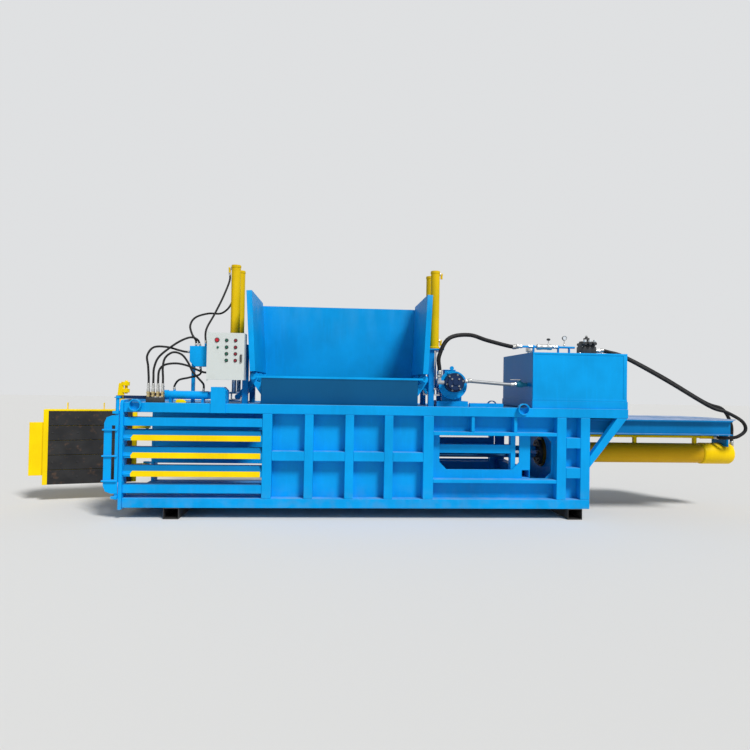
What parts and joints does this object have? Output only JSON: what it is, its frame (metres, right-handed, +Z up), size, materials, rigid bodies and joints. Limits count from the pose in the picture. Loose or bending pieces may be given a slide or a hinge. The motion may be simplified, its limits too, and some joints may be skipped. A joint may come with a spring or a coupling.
{
  "type": "recycling baler",
  "caption": "Horizontal scrap baler with slotted bale chamber, hopper with press flaps, ram, rear cylinder, oil tank and swinging bale door",
  "frame": {"origin": "middle of the front skid's underside, on the ground", "axes": "+X along the machine from the outlet door to the rear cylinder, +Y to the far side, +Z up"},
  "size_m": [9.4097, 1.5559, 3.08],
  "materials": {
    "blue_paint": "gloss paint",
    "deck_paint": "dusty gloss paint",
    "yellow_paint": "gloss paint",
    "black_paint": "matt paint",
    "steel": "bare",
    "ivory_paint": "powder coat",
    "green_plastic": "gloss",
    "red_plastic": "gloss",
    "hose_rubber": "matt"
  },
  "bodies": {
    "body": {"skids": "black_paint", "rails": "blue_paint", "end_frame": "blue_paint", "side_posts": "blue_paint", "side_ribs": "blue_paint", "bale_bars": "blue_paint", "strap_strips": "yellow_paint", "side_walls": "blue_paint", "chamber_plates": "blue_paint", "deck_plates": "deck_paint", "cross_beams": "blue_paint", "cylinder_mount": "blue_paint", "rear_platform": "blue_paint", "lifting_rings": "blue_paint", "hopper": "blue_paint", "flap_brackets": "blue_paint", "press_stands": "deck_paint", "press_barrels": "yellow_paint", "main_barrel": "yellow_paint", "main_gland": "steel", "oil_pipe": "yellow_paint", "lock_brackets": "blue_paint", "lock_cylinder": "blue_paint", "door_hinges": "blue_paint", "cabinet": "ivory_paint", "valve_box": "blue_paint", "tank": "blue_paint", "pipe_fittings": "steel", "valve_stack": "black_paint", "motor": "blue_paint", "pump": "black_paint", "suction_valve": "steel", "hose_pressure": "hose_rubber", "hose_suction": "hose_rubber", "hose_cap_feed": "hose_rubber", "hose_rod_feed": "hose_rubber", "hose_press": "hose_rubber", "hose_lock": "hose_rubber"},
    "left_flap": {"left_flap": "blue_paint"},
    "right_flap": {"right_flap": "blue_paint"},
    "left_press_rods": {"left_press_rods": "steel"},
    "right_press_rods": {"right_press_rods": "steel"},
    "ram": {"ram": "blue_paint", "main_rod": "steel"},
    "lock": {"lock_frame": "blue_paint"},
    "lock_rod": {"lock_rod": "steel"},
    "bale_door": {"door_frame": "yellow_paint", "door_liners": "black_paint", "door_fittings": "yellow_paint"},
    "cabinet_door": {"cabinet_door": "ivory_paint"},
    "valve_lever": {"valve_lever": "steel"},
    "stop_button": {"stop_button": "red_plastic"},
    "green_button_1": {"green_button_1": "green_plastic"},
    "green_button_2": {"green_button_2": "green_plastic"},
    "green_button_3": {"green_button_3": "green_plastic"},
    "green_button_4": {"green_button_4": "green_plastic"},
    "red_button_1": {"red_button_1": "red_plastic"},
    "red_button_2": {"red_button_2": "red_plastic"},
    "red_button_3": {"red_button_3": "red_plastic"},
    "red_button_4": {"red_button_4": "red_plastic"}
  },
  "joints": [
    {"name": "left_flap_hinge", "type": "hinge", "parent": "body", "child": "left_flap", "pos_m": [0.895, 0, 1.675], "axis": [0, 1, 0], "range_deg": [0, 93.5]},
    {"name": "right_flap_hinge", "type": "hinge", "parent": "body", "child": "right_flap", "pos_m": [2.975, 0, 1.675], "axis": [0, -1, 0], "range_deg": [0, 92.5]},
    {"name": "left_press_slide", "type": "slide", "parent": "body", "child": "left_press_rods", "axis": [0, 0, 1], "range_m": [0, 0.4957]},
    {"name": "right_press_slide", "type": "slide", "parent": "body", "child": "right_press_rods", "axis": [0, 0, 1], "range_m": [0, 0.2966]},
    {"name": "ram_slide", "type": "slide", "parent": "body", "child": "ram", "axis": [-1, 0, 0], "range_m": [0, 2]},
    {"name": "lock_hinge", "type": "hinge", "parent": "body", "child": "lock", "pos_m": [-0.622, -0.722, 0.8], "axis": [0, 0, -1], "range_deg": [0, 25]},
    {"name": "lock_rod_slide", "type": "slide", "parent": "body", "child": "lock_rod", "axis": [1, 0, 0], "range_m": [0, 0.0965]},
    {"name": "bale_door_hinge", "type": "hinge", "parent": "body", "child": "bale_door", "pos_m": [-0.72, 0.74, 0.75], "axis": [0, 0, 1], "range_deg": [-38, 74]},
    {"name": "cabinet_door_hinge", "type": "hinge", "parent": "body", "child": "cabinet_door", "pos_m": [0.371, -0.656, 1.9], "axis": [0, 0, -1], "range_deg": [0, 110]},
    {"name": "valve_lever_hinge", "type": "hinge", "parent": "body", "child": "valve_lever", "pos_m": [4.199, -0.43, 1.69], "axis": [0, 0, -1], "range_deg": [0, 90]},
    {"name": "stop_button_press", "type": "slide", "parent": "cabinet_door", "child": "stop_button", "axis": [0, 1, 0], "range_m": [0, 0.004], "stiffness_N_per_m": 600},
    {"name": "green_button_1_press", "type": "slide", "parent": "cabinet_door", "child": "green_button_1", "axis": [0, 1, 0], "range_m": [0, 0.004], "stiffness_N_per_m": 600},
    {"name": "green_button_2_press", "type": "slide", "parent": "cabinet_door", "child": "green_button_2", "axis": [0, 1, 0], "range_m": [0, 0.004], "stiffness_N_per_m": 600},
    {"name": "green_button_3_press", "type": "slide", "parent": "cabinet_door", "child": "green_button_3", "axis": [0, 1, 0], "range_m": [0, 0.004], "stiffness_N_per_m": 600},
    {"name": "green_button_4_press", "type": "slide", "parent": "cabinet_door", "child": "green_button_4", "axis": [0, 1, 0], "range_m": [0, 0.004], "stiffness_N_per_m": 600},
    {"name": "red_button_1_press", "type": "slide", "parent": "cabinet_door", "child": "red_button_1", "axis": [0, 1, 0], "range_m": [0, 0.004], "stiffness_N_per_m": 600},
    {"name": "red_button_2_press", "type": "slide", "parent": "cabinet_door", "child": "red_button_2", "axis": [0, 1, 0], "range_m": [0, 0.004], "stiffness_N_per_m": 600},
    {"name": "red_button_3_press", "type": "slide", "parent": "cabinet_door", "child": "red_button_3", "axis": [0, 1, 0], "range_m": [0, 0.004], "stiffness_N_per_m": 600},
    {"name": "red_button_4_press", "type": "slide", "parent": "cabinet_door", "child": "red_button_4", "axis": [0, 1, 0], "range_m": [0, 0.004], "stiffness_N_per_m": 600}
  ],
  "couplings": [
    {"joint": "left_press_slide", "follows": "left_flap_hinge", "m_per_rad": 0.30348},
    {"joint": "right_press_slide", "follows": "right_flap_hinge", "m_per_rad": 0.18341},
    {"joint": "lock_rod_slide", "follows": "lock_hinge", "m_per_rad": 0.22024}
  ]
}
